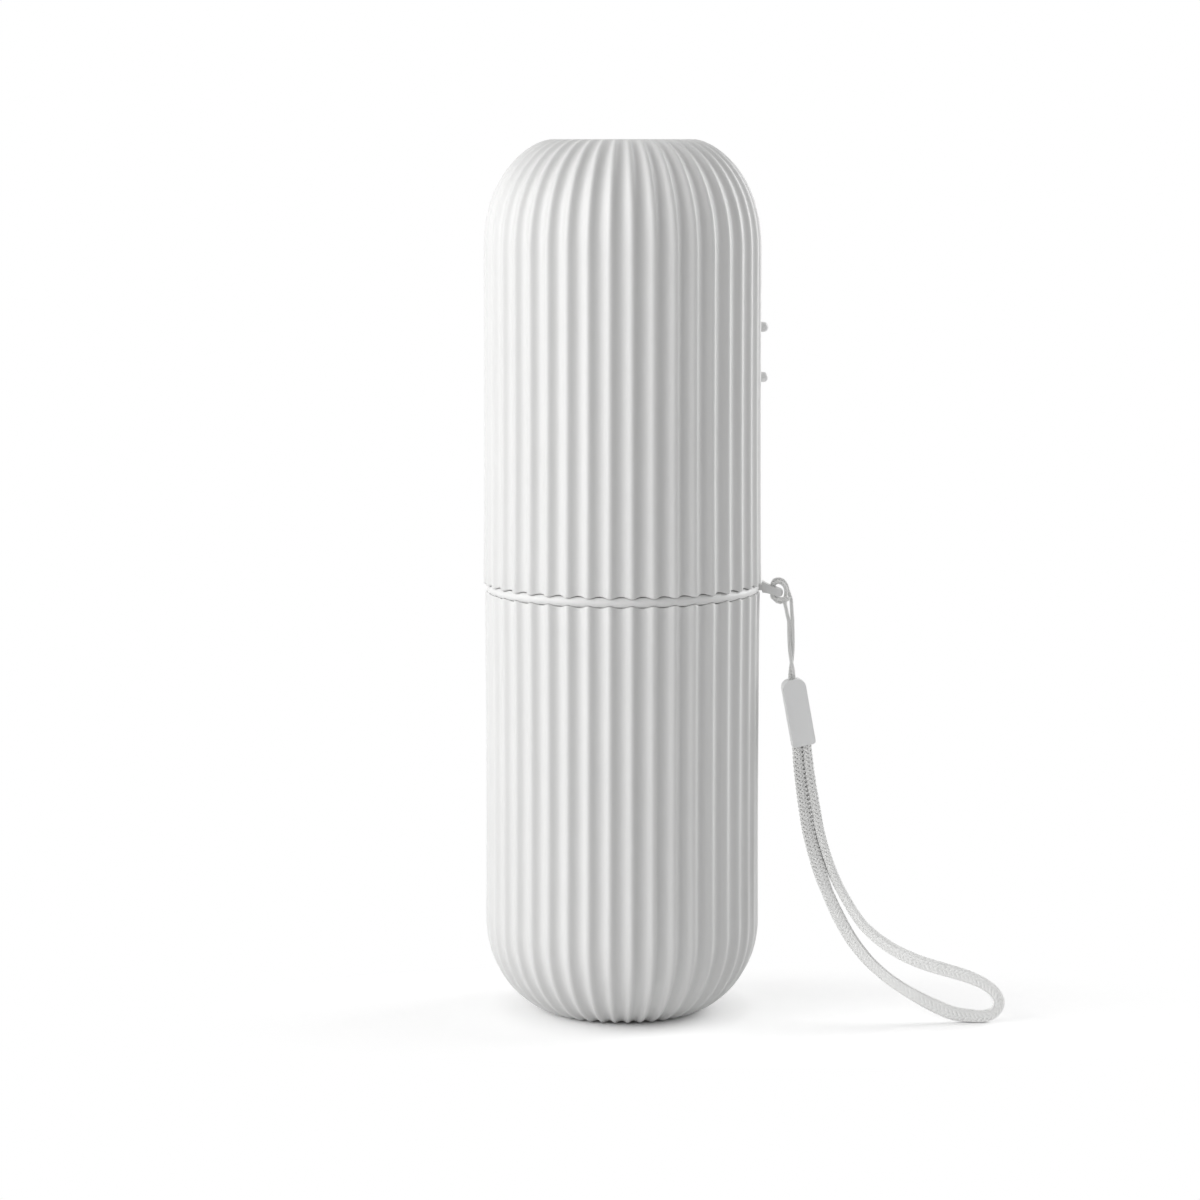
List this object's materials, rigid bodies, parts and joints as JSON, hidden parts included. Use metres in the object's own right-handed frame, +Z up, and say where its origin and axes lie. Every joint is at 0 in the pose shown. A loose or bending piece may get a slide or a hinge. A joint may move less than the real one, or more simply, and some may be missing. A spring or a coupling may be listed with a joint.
{
  "type": "toothbrush travel case",
  "caption": "Fluted capsule case for toothbrushes with a push-on cap, a light module worked by push buttons, and a strap ring with a wrist strap.",
  "frame": {"origin": "middle of the flat base, on the surface that the case stands on", "axes": "+Z up along the case's axis, +X towards the buttons and the strap lug, -Y towards the front of the picture"},
  "size_m": [0.1241, 0.0664, 0.2094],
  "materials": {
    "case_plastic": "white moulded plastic, fine satin",
    "liner_plastic": "white moulded plastic, satin",
    "seal_silicone": "soft grey silicone",
    "pad_mineral": "porous absorbent disc",
    "ring_plastic": "white flexible plastic, half gloss",
    "string_cord": "white braided cord",
    "clamp_plastic": "light grey moulded plastic, satin",
    "strap_braid": "white braided strap",
    "pod_plastic": "pale grey moulded plastic",
    "clear_plastic": "clear window",
    "board_laminate": "green solder mask",
    "cell_steel": "brushed steel can",
    "spring_steel": "plated spring strip",
    "switch_plastic": "black moulded plastic",
    "emitter_resin": "clear resin over phosphor",
    "screw_steel": "zinc plated",
    "button_plastic": "white moulded plastic, satin"
  },
  "bodies": {
    "body": {"body_shell": "case_plastic", "body_liner": "liner_plastic", "neck_seal": "seal_silicone", "drip_pad": "pad_mineral"},
    "divider": {"brush_divider": "liner_plastic"},
    "ring": {"strap_ring": "ring_plastic", "hitch_string": "string_cord", "strap_clamp": "clamp_plastic", "wrist_strap": "strap_braid"},
    "cap": {"cap_shell": "case_plastic", "pod_housing": "pod_plastic", "pod_cover": "pod_plastic", "pod_window": "clear_plastic", "circuit_board": "board_laminate", "coin_cell": "cell_steel", "cell_contact": "spring_steel", "upper_switch": "switch_plastic", "lower_switch": "switch_plastic", "light_emitter_1": "emitter_resin", "light_emitter_2": "emitter_resin", "light_emitter_3": "emitter_resin", "pod_screw_1": "screw_steel", "pod_screw_2": "screw_steel", "pod_screw_3": "screw_steel", "pod_screw_4": "screw_steel"},
    "upper_button": {"upper_button": "button_plastic"},
    "lower_button": {"lower_button": "button_plastic"}
  },
  "joints": [
    {"name": "cap_lift", "type": "slide", "parent": "body", "child": "cap", "axis": [0, 0, 1], "range_m": [0, 0.03]},
    {"name": "divider_lift", "type": "slide", "parent": "body", "child": "divider", "axis": [0, 0, 1], "range_m": [0, 0.02]},
    {"name": "ring_turn", "type": "hinge", "parent": "body", "child": "ring", "pos_m": [0, 0, 0.1029], "axis": [0, 0, 1], "continuous": true},
    {"name": "upper_press", "type": "slide", "parent": "cap", "child": "upper_button", "axis": [-1, 0, 0], "range_m": [0, 0.0006], "stiffness_N_per_m": 400},
    {"name": "lower_press", "type": "slide", "parent": "cap", "child": "lower_button", "axis": [-1, 0, 0], "range_m": [0, 0.0006], "stiffness_N_per_m": 400}
  ]
}
